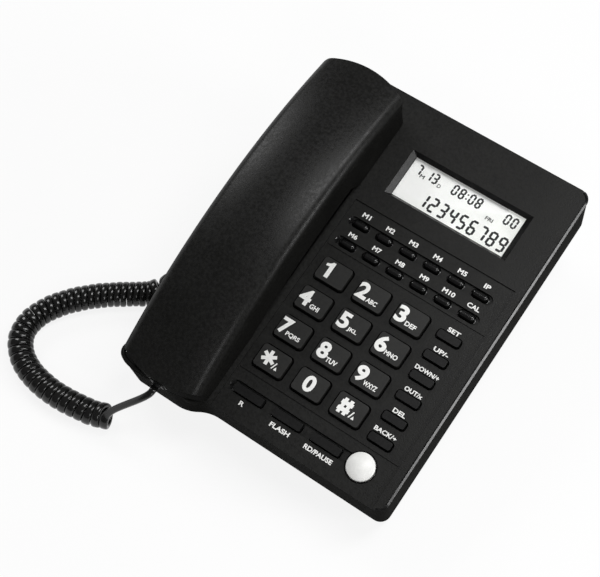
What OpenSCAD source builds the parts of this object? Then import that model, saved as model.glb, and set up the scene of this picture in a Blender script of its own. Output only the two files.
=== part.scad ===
// Push-button desk phone with a caller display, a handset in a cradle and a curly cord.
// Millimetres. X runs to the right, Y to the back, Z up. The origin is on the table,
// below the middle of the phone.
// Most pieces are placed in the frame of the sloping face: x right, y up the slope,
// z out of the face, with zero at the middle of the face.

/* [Base casing] */
// Width of the base
base_w = 156; // [152:1:172]
// Length of the sloping face, front to back
base_l = 199; // [194:1:214]
// Thickness of the sloping casing, square to the face
slab_t = 30; // [28:1:36]
// Slope of the face in degrees
tilt = 10; // [7:0.5:13]
// Corner radius of the base seen from above
base_r = 6; // [4:0.5:10]
// Thickness of the casing's side walls
wall_t = 2.5; // [2:0.1:3]
// Thickness of the casing's face
top_t = 3.2; // [3:0.1:4]
// How far the cradle's front stands out past the keypad's front
cradle_fwd = 6.5; // [4:0.5:9]
// Radius of the two arcs that join the cradle's front to the keypad's front
sweep_r = 22; // [16:1:26]
// Thickness of the bottom plate
plate_t = 2.5; // [2:0.1:3]
// How far the wedge foot is set in from the casing's sides
wedge_in = 12; // [12:0.5:20]
// Height of the rubber feet below the wedge
foot_h = 2; // [1.5:0.5:4]
// Diameter of a rubber foot
foot_d = 12; // [8:1:16]
// Height of the casing's front edge above the table
front_clear = 3; // [2.5:0.5:6]

/* [Handset] */
// Width of the handset
hs_w = 50.5; // [48:0.5:53]
// Length of the handset
hs_l = 197; // [190:0.5:200]
// Radius of the handset's long arch
hs_r = 300; // [270:5:360]
// Radius of the crown across its back
crown_r = 90; // [70:5:160]
// Radius of the rounding along the sides of its back
side_r = 7; // [5:0.5:8]
// Height of the arch's top above the face
hs_top = 37; // [36:0.1:42]
// Thickness of the grip, from the arch's top to its underside
grip_t = 27; // [24:0.5:29]
// Depth of the back casing below the arch's top
back_t = 10; // [9:0.5:11]
// Wall of the handset's casings
hs_wall = 2.2; // [1.8:0.1:2.6]
// Radius of the curved ends seen from above
end_r = 53; // [45:1:70]
// Corner radius of the ends seen from above
end_corner = 5; // [3.5:0.5:7]
// How far the handset's front end stands out past the keypad's front
hs_over = 7; // [6:0.5:9]
// Distance from the handset's front end to the top of its arch
apex_y = 115.5; // [105:0.5:118]
// Gap between the handset's side and the base's left side
hs_margin = 0.5; // [0.5:0.5:4]
// Depth of the ear and mouth caps below the face
cap_depth = 6; // [5:0.5:7]
// How far the caps are set in from the handset's sides
cap_in = 3; // [2.5:0.1:4]
// Length of the ear cap
ear_l = 46; // [42:0.5:52]
// Length of the mouth cap
mouth_l = 43; // [40:0.5:48]
// Room around the caps in the cradle
tub_gap = 0.8; // [0.5:0.1:1.2]

/* [Keys] */
// Width of a dial key
key_w = 16.8; // [15:0.1:18]
// Height of a dial key
key_h = 12.6; // [11:0.1:13.5]
// Distance between dial key columns, in a base of the usual width
key_px = 23.4; // [22.5:0.1:24]
// Distance between dial key rows, in a base of the usual length
key_py = 18.6; // [17.5:0.1:19]
// Gap all round between a key and its hole
key_gap = 0.6; // [0.4:0.05:0.8]
// How far a key goes down
key_travel = 1.5; // [1:0.1:2]
// Height of a dial key above the keypad
key_rise = 2.4; // [1.9:0.1:3]
// Length of a memory key
mem_w = 9.4; // [8:0.1:10.4]
// Width of a memory key
mem_h = 3.9; // [3.2:0.1:4.6]
// Distance between memory keys
mem_px = 14.6; // [13.8:0.1:15]
// Distance between the two memory rows
mem_py = 12.8; // [11.5:0.1:14]
// Length of a function key
fn_w = 12.8; // [11:0.1:13.4]
// Width of a function key
fn_h = 4.3; // [3.6:0.1:5]
// Distance between function keys
fn_py = 12.6; // [11.5:0.1:13]
// Length of a key in the front row
row_w = 17; // [15:0.1:18]
// Width of a key in the front row
row_h = 4.6; // [4:0.1:5.4]
// Diameter of the round hands-free button
dome_d = 14.6; // [12:0.1:16]
// Distance from the handset's side to the first dial column
keypad_gap = 16; // [15:0.5:20]
// Distance from the base's front edge to the first dial row
keypad_front = 91.2; // [90:0.1:96]

/* [Display] */
// Width of the display window
lcd_w = 67.4; // [60:0.1:70]
// Height of the display window
lcd_h = 25; // [22:0.1:27]
// Width of the sloping frame at the window's ends
bezel_x = 3.1; // [2:0.1:4]
// Width of the sloping frame above and below the window
bezel_y = 1.8; // [1:0.1:3]
// Distance from the window's middle to the base's back edge
lcd_back = 40.5; // [38:0.5:42]

/* [Curly cord] */
// Thickness of the cord
cord_d = 3; // [2.8:0.1:3.2]
// Outer diameter of the curls
curl_d = 13.2; // [12:0.1:13.6]
// Number of curls
curls = 36; // [25:1:36]

/* [Hidden] */
$fn = 64;
fit_gap = 0.3;
contact_gap = 0.05;
left = -base_w / 2;
right = base_w / 2;
front = -base_l / 2;
back = base_l / 2;
cradle_front = front - cradle_fwd;

// The handset's length and the spacing on the face are given for a base of the usual size,
// and are drawn out along and across it with the room that another base has
usual_l = 199;
usual_field = 105;
field_w = base_w - hs_margin - hs_w;
along_k = base_l / usual_l;
across_k = field_w / usual_field;
dial_px = key_px * across_k;
dial_py = key_py * along_k;
memory_px = mem_px * across_k;
memory_py = mem_py * along_k;
function_py = fn_py * along_k;

// Handset and cradle in the face frame
hs_x = left + hs_margin + hs_w / 2;
hs_len = hs_l * along_k;
hs_front = front - hs_over;
hs_back = hs_front + hs_len;
apex_run = apex_y * along_k;
hs_apex = hs_front + apex_run;
hs_lip = 1;
seam_in = 0.25;
side_out = 0.2;
cap_front = 5;
cap_back = 3;
cap_corner = 9;
cap_slope = 10;
tub_floor = -cap_depth - fit_gap;
tub_t = 2.2;
tub_right = hs_x + hs_w / 2 - cap_in + tub_gap;
nose_top = hs_top - hs_r + sqrt(hs_r * hs_r - apex_run * apex_run);
grip_r = hs_r - grip_t;
split_r = hs_r - back_t;
ear_y = hs_back - cap_back - ear_l;
mouth_y = hs_front + cap_front + mouth_l;
finger_l = 66 * along_k;
finger_y = (ear_y + mouth_y) / 2;

// Face features
panel_drop = 0.8;
slot_drop = 1.4;
dial_to_fn = 21.6;
dial_to_fn_y = 2.3;
dial_to_row = 20.9;
dial_to_mem_x = 3.6;
dial_to_mem_y = 17.7;
dial_to_lcd = 33.35;
dial_to_line_jack = 56;
dome_left = 1;
panel_side = 2.2;
panel_past_fn = 15.1;
panel_past_mem = 11.1;
mem_to_groove = 4.9;
dial_to_groove = 10.9;
key_x1 = hs_x + hs_w / 2 + keypad_gap * across_k;
key_y1 = front + keypad_front * along_k;
key_y4 = key_y1 - 3 * dial_py;
fn_x = key_x1 + 2 * dial_px + dial_to_fn * across_k;
fn_y1 = key_y1 + dial_to_fn_y * along_k;
row_y = key_y4 - dial_to_row * along_k;
dome_x = fn_x - dome_left * across_k;
mem_x1 = key_x1 - dial_to_mem_x * across_k;
mem_y2 = key_y1 + dial_to_mem_y * along_k;
mem_y1 = mem_y2 + memory_py;
lcd_x = key_x1 + dial_to_lcd * across_k;
lcd_y = back - lcd_back * along_k;
panel_left = hs_x + hs_w / 2 + panel_side;
panel_right = fn_x + panel_past_fn * across_k;
panel_back = mem_y1 + panel_past_mem * along_k;
groove_ys = [mem_y2 - mem_to_groove * along_k, key_y4 - dial_to_groove * along_k];
groove_w = 0.7;
groove_drop = 0.5;

// Levels under the face
flange_z = -top_t - 0.6;
flange_t = 1;
flange_out = 1;
stem_l = 1.6;
stem_z = flange_z - flange_t - stem_l;
pad_z = stem_z - key_travel - 0.4;
pad_t = 1.1;
dial_pad_d = 7;
small_pad_d = 3.6;
dome_pad_d = 6;
membrane_past = 4;
stem_d = 3;
sheet_t = 1;
board_t = 1.6;
board_z = pad_z - pad_t - sheet_t;
lens_t = 1.5;
plate_z = -slab_t + plate_t;

// Screws and posts
screw_d = 3;
screw_head_d = 5.6;
screw_head_t = 1.6;
screw_l = 11;
post_d = 7;
base_posts = [
    [right - 6.5, back - 7.5], [right - 6.5, front + 8.5],
    [left + 8, back - 7.5], [left + 8, front + 8.5]
];
board_left = tub_right + tub_t + 2.5;
board_right = right - 6.5 - post_d / 2 - 2;
board_front = front + wall_t + 1;
board_back = back - 13.5;
board_post_d = 6;
board_posts = [
    [board_left + 4, board_front + 3], [key_x1 + 2 * dial_px + 8 * across_k, board_front + 3],
    [board_left + 4, board_back - 4], [board_right - 4, board_back - 4]
];
board_screw_l = 6;

// Jacks and plugs
line_size = [14, 18, 13];
line_hole = [9.8, 12, 6.8];
line_x = key_x1 + dial_to_line_jack * across_k;
line_z = board_z - board_t - line_size[2] / 2;
small_jack = [11, 16, 11];
small_hole = [7.9, 11.5, 6.9];
jack_lip = 1.5;
jack_rim = 1.5;
base_jack_run = 70;
base_jack_y = front + base_jack_run * along_k;
base_jack_z = -19;
hs_jack = [10.6, 13, 8];
hs_jack_y = hs_front + 0.4;
hs_jack_z = hs_lip + 0.6 + hs_jack[2] / 2;
plug_size = [7.5, 10.3, 6.5];
plug_out = 0.8;
neck_d = 4.8;
neck_l = 1.2;
plug_drop = (small_hole[2] - plug_size[2]) / 2;

// Hook switch, loudspeaker and capsules
hook_x = hs_x;
hook_y = ear_y + 5;
hook_size = [10, 5];
hook_travel = 5;
hook_collar = 2;
hook_gap = 0.4;
hook_bottom = tub_floor - tub_t - hook_travel - 0.5 - hook_collar;
spring_wire = 0.8;
spring_d = 7;
spring_turns = 6;
speaker_d = 44;
speaker_y = finger_y;
speaker_rim = 4;
speaker_magnet_d = 24;
speaker_magnet_t = 8;
mic_d = 9.7;
mic_l = 5.5;
base_mic_z = -18;
receiver_d = 32;
receiver_t = 8;
receiver_y = hs_back - cap_back - ear_l / 2;
mouth_mic_y = hs_front + cap_front + mouth_l / 2;
weight_angle = 2.6;
weight_t = 7;
weight_w = 30;
hs_screw_ys = [hs_apex - 32 * along_k, hs_apex + 22 * along_k];
hs_screw_sink = 3;
hs_screw_end = 5;
hs_screw_d = 2.6;
hs_screw_head = 4.6;

// Where the sloping face stands above the table
z_shift = front_clear - cradle_front * sin(tilt) + slab_t * cos(tilt);
y_low = hs_front * cos(tilt) - nose_top * sin(tilt);
y_high = back * cos(tilt) + slab_t * sin(tilt);
y_shift = -(y_low + y_high) / 2;

// Names and places of the keys: name, column, row
dial_keys = [
    ["key_1", 0, 0], ["key_2", 1, 0], ["key_3", 2, 0],
    ["key_4", 0, 1], ["key_5", 1, 1], ["key_6", 2, 1],
    ["key_7", 0, 2], ["key_8", 1, 2], ["key_9", 2, 2],
    ["key_star", 0, 3], ["key_0", 1, 3], ["key_hash", 2, 3]
];
memory_keys = [
    ["key_m1", 0, 0], ["key_m2", 1, 0], ["key_m3", 2, 0],
    ["key_m4", 3, 0], ["key_m5", 4, 0], ["key_ip", 5, 0],
    ["key_m6", 0, 1], ["key_m7", 1, 1], ["key_m8", 2, 1],
    ["key_m9", 3, 1], ["key_m10", 4, 1], ["key_cal", 5, 1]
];
function_keys = [
    ["key_set", 0], ["key_up", 1], ["key_down", 2],
    ["key_out", 3], ["key_del", 4], ["key_back", 5]
];
row_keys = [["key_r", 0], ["key_flash", 1], ["key_redial", 2]];

function dial_xy(k) = [key_x1 + k[1] * dial_px, key_y1 - k[2] * dial_py];
function memory_xy(k) = [mem_x1 + k[1] * memory_px, mem_y1 - k[2] * memory_py];
function function_xy(k) = [fn_x, fn_y1 - k[1] * function_py];
function row_xy(k) = [key_x1 + k[1] * dial_px, row_y];

// Curly cord: its route from the base's jack over the table to the handset's front end,
// with the bends given from the left front corner of the phone
cord_lead = 16;
cord_rise = 46;
base_plug_end = to_table([left - plug_out - neck_l, base_jack_y, base_jack_z - plug_drop]);
hs_plug_end = to_table([hs_x, hs_jack_y - plug_out - neck_l, hs_jack_z - plug_drop]);
hs_plug_way = to_table([0, -1, 0]) - to_table([0, 0, 0]);
cord_home = [left, y_low + y_shift, 0];
cord_bends = [
    [-11.5, 78, 22], [-14, 70, 14.5], [-16, 61, 9], [-21, 52.3, 7], [-29.5, 45.6, 6.8],
    [-38.6, 38.8, 6.8], [-47.7, 30.7, 6.8], [-56, 21, 6.8], [-62, 10.5, 6.8], [-64.3, 0, 6.8],
    [-62, -9.5, 6.8], [-55, -17, 6.8], [-45.5, -21.7, 6.8], [-34, -24, 6.8], [-22.8, -24.3, 6.8],
    [-10.3, -22.9, 6.8], [1, -20.3, 6.9], [7.8, -15.2, 12.5], [15, -8.8, 22.5]
];
cord_route = concat(
    [base_plug_end, base_plug_end + [-cord_d, 0, 0]],
    [for (p = cord_bends) cord_home + p],
    [hs_plug_end + hs_plug_way * cord_d, hs_plug_end]
);

// A point of the face frame in the table's frame
function to_table(p) = [
    p[0],
    y_shift + p[1] * cos(tilt) - p[2] * sin(tilt),
    z_shift + p[1] * sin(tilt) + p[2] * cos(tilt)
];

function unit(v) = v / norm(v);

// A smooth curve through four points, from the second to the third
function smooth4(p, q, r, s, t) = 0.5 * (2 * q + (r - p) * t
    + (2 * p - 5 * q + 4 * r - s) * t * t + (3 * q - p - 3 * r + s) * t * t * t);

// Points along a route; its first and last stretches stay straight
function smooth_route(route, steps) = concat(
    [route[0]],
    [
        for (i = [1 : len(route) - 3])
        for (k = [0 : steps - 1])
        smooth4(route[i - 1], route[i], route[i + 1], route[i + 2], k / steps)
    ],
    [route[len(route) - 2], route[len(route) - 1]]
);

function run_lengths(p) = [
    for (i = 0, s = 0; i < len(p); s = s + (i + 1 < len(p) ? norm(p[i + 1] - p[i]) : 0), i = i + 1) s
];

function along(table, s) = [lookup(s, table[0]), lookup(s, table[1]), lookup(s, table[2])];

function axis_table(p) = let (s = run_lengths(p))
    [for (k = [0 : 2]) [for (i = [0 : len(p) - 1]) [s[i], p[i][k]]]];

// Stations of a coiled tube: distance along the route, radius of the curl and its angle
function stations(total, lead_in, lead_out, turns, r) = concat(
    [[0, 0, 0], [cord_d, 0, 0]],
    [for (s = [2 * cord_d : cord_d : lead_in - cord_d / 2]) [s, 0, 0]],
    [
        for (k = [0 : 8 * turns])
        [
            lead_in + (total - lead_in - lead_out) * k / (8 * turns),
            r * min(1, k / 8, (8 * turns - k) / 8),
            45 * k
        ]
    ],
    [for (s = [lead_out - cord_d : -cord_d : 1.5 * cord_d]) [total - s, 0, 0]],
    [[total - cord_d, 0, 0], [total, 0, 0]]
);

// Centre line of a coiled tube, each point with the direction that its curl points
function coil_line(table, st) = [
    for (q = st)
    let (
        t = unit(along(table, q[0] + 0.5) - along(table, q[0] - 0.5)),
        side = unit(cross([0, 0, 1], t)),
        out = cos(q[2]) * side + sin(q[2]) * cross(t, side)
    )
    [along(table, q[0]) + q[1] * out, out]
];

// A six-sided tube round a centre line
module tube_along(line, r) {
    n = len(line);
    rings = [
        for (i = [0 : n - 1])
        let (
            t = unit(line[min(i + 1, n - 1)][0] - line[max(i - 1, 0)][0]),
            a = unit(line[i][1] - t * (line[i][1] * t)),
            b = cross(t, a)
        )
        for (j = [0 : 5]) line[i][0] + r * (cos(60 * j) * a + sin(60 * j) * b)
    ];
    sides = [
        for (i = [0 : n - 2])
        for (j = [0 : 5])
        let (a = 6 * i + j, b = 6 * i + (j + 1) % 6)
        for (f = [[a, a + 6, b], [b, a + 6, b + 6]]) f
    ];
    start_cap = [for (j = [1 : 4]) [0, j, j + 1]];
    end_cap = [for (j = [1 : 4]) [6 * n - 6, 6 * n - 6 + j + 1, 6 * n - 6 + j]];
    polyhedron(points = rings, faces = concat(sides, start_cap, end_cap), convexity = 10);
}

// Least gap between two stretches of a tube that are half a curl or more apart
function least_gap(line, d) = min([
    for (i = [0 : len(line) - 6])
    for (j = [i + 5 : min(i + 40, len(line) - 1)])
    norm(line[i][0] - line[j][0])
]) - d;

// Places children on the sloping face
module face() {
    translate([0, y_shift, z_shift]) rotate([tilt, 0, 0]) children();
}

// A flat shape pushed out from one level of the face to another
module between(z0, z1) {
    translate([0, 0, z0]) linear_extrude(height = z1 - z0) children();
}

module rounded(w, h, r) {
    square([w - 2 * r, h], center = true);
    square([w, h - 2 * r], center = true);
    for (x = [-1, 1]) for (y = [-1, 1]) translate([x * (w / 2 - r), y * (h / 2 - r)]) circle(r = r);
}

module round_ended(w, h) {
    square([w - h, h], center = true);
    for (x = [-1, 1]) translate([x * (w - h) / 2, 0]) circle(d = h);
}

// Outline of the base set in by i: a rounded rectangle with the cradle's front standing out
module base_plan(i) {
    r = base_r - i;
    turn = acos(1 - cradle_fwd / (2 * sweep_r));
    bend = [hs_x + hs_w / 2 - 21, cradle_front + sweep_r];
    hollow = [bend[0] + 2 * sweep_r * sin(turn), front - sweep_r];
    rounded(base_w - 2 * i, base_l - 2 * i, r);
    translate([left + i, cradle_front + base_r]) square([bend[0] - left - i, 2 * sweep_r]);
    translate([left + base_r, cradle_front + i]) square([bend[0] - left - base_r, 2 * sweep_r]);
    translate([left + base_r, cradle_front + base_r]) circle(r = r);
    polygon(concat(
        [for (k = [0 : 8]) bend + (sweep_r - i) * [sin(turn * k / 8), -cos(turn * k / 8)]],
        [for (k = [7 : -1 : 0]) hollow + (sweep_r + i) * [-sin(turn * k / 8), cos(turn * k / 8)]],
        [[hollow[0], bend[1]], bend]
    ));
}

// Outline of the handset set in by i, with curved ends
module handset_plan(w, y0, y1, i) {
    r = end_corner - i;
    big = end_r - i;
    corner_x = w / 2 - end_corner;
    rise = sqrt((end_r - end_corner) * (end_r - end_corner) - corner_x * corner_x);
    mid_y0 = y0 + end_r - rise;
    mid_y1 = y1 - end_r + rise;
    translate([hs_x, 0]) {
        translate([-w / 2 + i, mid_y0]) square([w - 2 * i, mid_y1 - mid_y0]);
        for (x = [-1, 1]) for (y = [mid_y0, mid_y1]) translate([x * corner_x, y]) circle(r = r);
        for (e = [[y0 + end_r, -1], [y1 - end_r, 1]]) intersection() {
            translate([0, e[0]]) circle(r = big);
            translate([0, e[0]]) polygon([
                [0, 0], [-2 * corner_x, e[1] * 2 * rise], [2 * corner_x, e[1] * 2 * rise]
            ]);
        }
    }
}

// Outline of the ear and mouth caps, as one long shape, set in by i
module cap_plan(i) {
    y0 = hs_front + cap_front;
    y1 = hs_back - cap_back;
    translate([hs_x, (y0 + y1) / 2]) rounded(hs_w - 2 * cap_in - 2 * i, y1 - y0 - 2 * i, cap_corner - i);
}

// Sweeps a cross-section, given as distance from the arch's centre and place across, along the arch
module arch_sweep(angle = 60) {
    translate([hs_x, hs_apex, hs_top - hs_r]) rotate([90, 0, 90]) rotate([0, 0, 90 - angle / 2])
        rotate_extrude(angle = angle) children();
}

// Half of the handset's cross-section set in by i: a crowned top that rounds over into the side
function crown_half(i) =
    let (
        r = side_r - i,
        crown = crown_r - i,
        x = hs_w / 2 + side_out - side_r,
        top = hs_r - crown_r,
        a = asin(x / (crown_r - side_r)),
        z = top + (crown_r - side_r) * cos(a)
    )
    concat(
        [for (k = [0 : 6]) [top + crown * cos(a * k / 6), crown * sin(a * k / 6)]],
        [for (k = [1 : 8]) let (t = a + (90 - a) * k / 8) [z + r * cos(t), x + r * sin(t)]]
    );

module crown_section(r_low, i) {
    half = crown_half(i);
    n = len(half);
    side = half[n - 1][1];
    polygon(concat(
        [[r_low, -side]],
        [for (k = [n - 1 : -1 : 1]) [half[k][0], -half[k][1]]],
        half,
        [[r_low, side]]
    ));
}

module arch_band(r_low, r_high) {
    arch_sweep() translate([r_low, -hs_w]) square([r_high - r_low, 2 * hs_w]);
}

// A side view of the handset, given as place along it and height, pushed across its width
module side_view() {
    translate([hs_x, 0, 0]) rotate([90, 0, 90]) linear_extrude(height = 2 * hs_w, center = true) children();
}

// Side view of the ear and mouth ends above the lip, set in by i
module cap_ends(i) {
    far = hs_l;
    high = hs_top;
    polygon([
        [ear_y - cap_slope + i, high], [ear_y - cap_slope + i, hs_lip + cap_slope + i],
        [ear_y + i, hs_lip + i], [ear_y + far, hs_lip + i], [ear_y + far, high]
    ]);
    polygon([
        [mouth_y + cap_slope - i, high], [mouth_y + cap_slope - i, hs_lip + cap_slope + i],
        [mouth_y - i, hs_lip + i], [mouth_y - far, hs_lip + i], [mouth_y - far, high]
    ]);
}

module screw(d, l, head_d, head_t) {
    translate([0, 0, -head_t]) cylinder(d = head_d, h = head_t);
    translate([0, 0, -head_t / 2]) cylinder(d = d - 2 * contact_gap, h = l + head_t / 2);
}

// Frustum of a rectangle: w by h at its top, set in by dx and dy at its bottom
module frustum_cut(w, h, dx, dy, depth) {
    intersection() {
        rotate([90, 0, 0]) linear_extrude(height = h + 2, center = true) polygon([
            [-w / 2, 0], [w / 2, 0], [w / 2 - dx, -depth], [-w / 2 + dx, -depth]
        ]);
        rotate([90, 0, 90]) linear_extrude(height = w + 2, center = true) polygon([
            [-h / 2, 0], [h / 2, 0], [h / 2 - dy, -depth], [-h / 2 + dy, -depth]
        ]);
    }
}

// Openings in the face

module key_holes() {
    g = 2 * key_gap;
    for (k = dial_keys) translate(dial_xy(k)) rounded(key_w + g, key_h + g, 1.6 + key_gap);
    for (k = memory_keys) translate(memory_xy(k)) round_ended(mem_w + g, mem_h + g);
    for (k = function_keys) translate(function_xy(k)) rounded(fn_w + g, fn_h + g, 1.2 + key_gap);
    for (k = row_keys) translate(row_xy(k)) rounded(row_w + g, row_h + g, 1 + key_gap);
    translate([dome_x, row_y]) circle(d = dome_d + g);
}

module key_slots() {
    slot_w = 5 * memory_px + mem_w + 5;
    for (y = [mem_y1, mem_y2]) translate([mem_x1 + 2.5 * memory_px, y]) round_ended(slot_w, mem_h + 1.8);
    row_left = key_x1 - row_w / 2 - 3.4;
    row_slot_w = dome_x - row_left;
    translate([row_left + row_slot_w / 2, row_y + 0.5]) round_ended(row_slot_w, row_h + 2);
}

module speaker_slots() {
    for (j = [-3 : 3]) translate([hs_x, speaker_y + 4 * j])
        square([2 * sqrt(17 * 17 - 16 * j * j), 1.8], center = true);
}

module jack_body(size, hole) {
    difference() {
        union() {
            translate([-size[0] / 2, 0, -size[2] / 2]) cube(size);
            translate([-size[0] / 2 - jack_rim, wall_t, -size[2] / 2])
                cube([size[0] + 2 * jack_rim, jack_lip, size[2]]);
        }
        translate([-hole[0] / 2, -1, -hole[2] / 2]) cube([hole[0], hole[1] + 1, hole[2]]);
    }
}

module jack_cut(size) {
    g = 2 * contact_gap;
    translate([-size[0] / 2 - contact_gap, -1, -size[2] / 2])
        cube([size[0] + g, size[1] + 1, size[2] + contact_gap]);
}

// Turns a jack's mouth, which faces -y, to the place and side where it sits
module at_line_jack() {
    translate([line_x, back, line_z]) rotate([0, 0, 180]) children();
}

module at_base_jack() {
    translate([left, base_jack_y, base_jack_z]) rotate([0, 0, -90]) children();
}

module at_handset_jack() {
    translate([hs_x, hs_jack_y, hs_jack_z]) children();
}

module plug() {
    translate([-plug_size[0] / 2, -plug_out, -plug_size[2] / 2 - plug_drop])
        cube([plug_size[0], plug_size[1], plug_size[2]]);
    translate([0, -plug_out + contact_gap, -plug_drop]) rotate([90, 0, 0])
        cylinder(d = neck_d, h = neck_l + contact_gap);
}

// Base casing

module base_top_shell() {
    color("#2a2a2c") face() difference() {
        union() {
            difference() {
                between(-slab_t, 0) base_plan(0);
                between(-slab_t - 1, -top_t) base_plan(wall_t);
            }
            between(tub_floor - tub_t, -top_t / 2) cap_plan(-tub_gap - tub_t);
            for (p = base_posts) translate([p[0], p[1], plate_z])
                cylinder(d = post_d, h = -plate_z - top_t / 2);
            for (p = board_posts) translate([p[0], p[1], board_z])
                cylinder(d = board_post_d, h = -board_z - top_t / 2);
        }
        between(tub_floor, hs_top) cap_plan(-tub_gap);
        translate([left - 1, finger_y - finger_l / 2, tub_floor])
            cube([hs_w / 2, finger_l, cap_depth + 2]);
        translate([panel_left, cradle_front - 5, -panel_drop])
            cube([panel_right - panel_left, panel_back - cradle_front + 5, top_t]);
        for (y = groove_ys) translate([panel_left + groove_w, y - groove_w / 2, -panel_drop - groove_drop])
            cube([panel_right - panel_left - 2 * groove_w, groove_w, top_t]);
        between(-panel_drop - slot_drop, 1) key_slots();
        between(-top_t - 1, 1) key_holes();
        translate([lcd_x, lcd_y, 0])
            frustum_cut(lcd_w + 2 * bezel_x, lcd_h + 2 * bezel_y, bezel_x - 0.2, bezel_y - 0.2, top_t - 0.8);
        translate([lcd_x, lcd_y, -top_t]) cube([lcd_w, lcd_h, 2 * top_t], center = true);
        between(tub_floor - tub_t - 1, tub_floor + 1) speaker_slots();
        translate([hook_x, hook_y, tub_floor]) cube(
            [hook_size[0] + 2 * hook_gap, hook_size[1] + 2 * hook_gap, 3 * tub_t], center = true);
        for (p = base_posts) translate([p[0], p[1], plate_z - 1]) cylinder(d = screw_d, h = screw_l);
        for (p = board_posts) translate([p[0], p[1], board_z - 1]) cylinder(d = screw_d, h = board_screw_l);
        at_line_jack() jack_cut(line_size);
        at_base_jack() jack_cut(small_jack);
        translate([key_x1 + dial_px, front - 1, base_mic_z]) rotate([-90, 0, 0])
            cylinder(d = 1.6, h = wall_t + 2);
    }
}

module wedge(i, low) {
    intersection() {
        face() between(-3 * slab_t, plate_z)
            rounded(base_w - 2 * wedge_in - 2 * i, base_l - 2 * wedge_in - 2 * i, 5 - i);
        translate([-base_w, -base_l, low]) cube([2 * base_w, 2 * base_l, 2 * base_l]);
    }
}

// Where the wedge's front or back wall, at y on the face, meets the foot's level
function wedge_y(y) = y_shift + y * cos(tilt) + (z_shift + y * sin(tilt) - foot_h) * tan(tilt);

foot_sink = 1;
foot_spots = [
    for (x = [-1, 1]) for (e = [wedge_y(front + wedge_in) + 10, wedge_y(back - wedge_in) - 10])
    [x * (base_w / 2 - wedge_in - 10), e]
];

module base_bottom_shell() {
    color("#232325") difference() {
        union() {
            difference() {
                union() {
                    face() between(-slab_t, plate_z) base_plan(wall_t + fit_gap);
                    wedge(0, foot_h);
                }
                difference() {
                    face() between(-3 * slab_t, plate_z + 1)
                        rounded(base_w - 2 * wedge_in - 2 * plate_t, base_l - 2 * wedge_in - 2 * plate_t, 2);
                    translate([-base_w, -base_l, foot_h + plate_t - 4 * slab_t])
                        cube([2 * base_w, 2 * base_l, 4 * slab_t]);
                }
            }
            intersection() {
                face() translate([hook_x, hook_y, -3 * slab_t])
                    cylinder(d = spring_d + 5, h = 3 * slab_t + plate_z);
                wedge(plate_t / 2, foot_h + plate_t / 2);
            }
            intersection() {
                face() translate([hook_x + 8, hook_y - 8, -3 * slab_t]) cube([12, 16, 3 * slab_t + plate_z]);
                wedge(plate_t / 2, foot_h + plate_t / 2);
            }
        }
        face() for (p = base_posts) translate([p[0], p[1], -slab_t - 1]) {
            cylinder(d = screw_d + 0.4, h = plate_t + 2);
            cylinder(d = screw_head_d + 0.4, h = 1 + screw_head_t);
        }
        for (p = foot_spots) translate([p[0], p[1], foot_h - 1]) cylinder(d = foot_d, h = 1 + foot_sink);
    }
}

module rubber_feet() {
    color("#1a1a1a") for (p = foot_spots) translate([p[0], p[1], 0])
        cylinder(d = foot_d - 2 * contact_gap, h = foot_h + foot_sink);
}

module base_screws() {
    color("silver") face() for (p = base_posts) translate([p[0], p[1], -slab_t + screw_head_t])
        screw(screw_d, screw_l - 2, screw_head_d, screw_head_t);
}

// Display

module lcd_lens() {
    color([0.8, 0.85, 0.85, 0.4]) face() translate([lcd_x, lcd_y, -top_t - lens_t])
        linear_extrude(height = lens_t) square([lcd_w + 4, lcd_h + 4], center = true);
}

module lcd_panel() {
    color("#e8ebe6") face() translate([lcd_x, lcd_y, -top_t - lens_t - 2.4])
        linear_extrude(height = 2.4) square([lcd_w + 3, lcd_h + 3], center = true);
}

// Inside the base

module main_board() {
    color("#2f6b3c") face() difference() {
        between(board_z - board_t, board_z) translate([board_left, board_front])
            square([board_right - board_left, board_back - board_front]);
        for (p = board_posts) translate([p[0], p[1], board_z - board_t - 1])
            cylinder(d = screw_d + 0.4, h = board_t + 2);
    }
}

module board_screws() {
    color("silver") face() for (p = board_posts) translate([p[0], p[1], board_z - board_t])
        screw(screw_d, board_t + board_screw_l - 2, screw_head_d, screw_head_t);
}

module key_membrane() {
    x0 = board_left + 1;
    x1 = board_right - 1;
    y0 = board_posts[0][1] + board_post_d / 2 + 0.6;
    y1 = mem_y1 + mem_h / 2 + membrane_past;
    color("#8d8f92") face() {
        between(board_z, board_z + sheet_t) translate([x0, y0]) square([x1 - x0, y1 - y0]);
        between(board_z + sheet_t / 2, pad_z) {
            for (k = dial_keys) translate(dial_xy(k)) circle(d = dial_pad_d);
            for (k = memory_keys) translate(memory_xy(k)) circle(d = small_pad_d);
            for (k = function_keys) translate(function_xy(k)) circle(d = small_pad_d);
            for (k = row_keys) translate(row_xy(k)) circle(d = small_pad_d);
            translate([dome_x, row_y]) circle(d = dome_pad_d);
        }
    }
}

module hook_plunger() {
    color("#35353a") face() {
        translate([hook_x - hook_size[0] / 2, hook_y - hook_size[1] / 2, hook_bottom])
            cube([hook_size[0], hook_size[1], tub_floor - hook_bottom]);
        translate([hook_x, hook_y, hook_bottom]) cylinder(d = hook_size[0] + 3, h = hook_collar);
    }
}

module hook_spring() {
    low = [hook_x, hook_y, plate_z + spring_wire / 2 + contact_gap];
    high = [hook_x, hook_y, hook_bottom - spring_wire / 2 - fit_gap];
    r = (spring_d - spring_wire) / 2;
    n = 8 * spring_turns;
    line = [
        for (k = [0 : n])
        let (out = [cos(45 * k), sin(45 * k), 0])
        [low + (high - low) * k / n + r * out, out]
    ];
    echo(hook_spring_gap = least_gap(line, spring_wire));
    color("silver") face() tube_along(line, spring_wire / 2);
}

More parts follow.
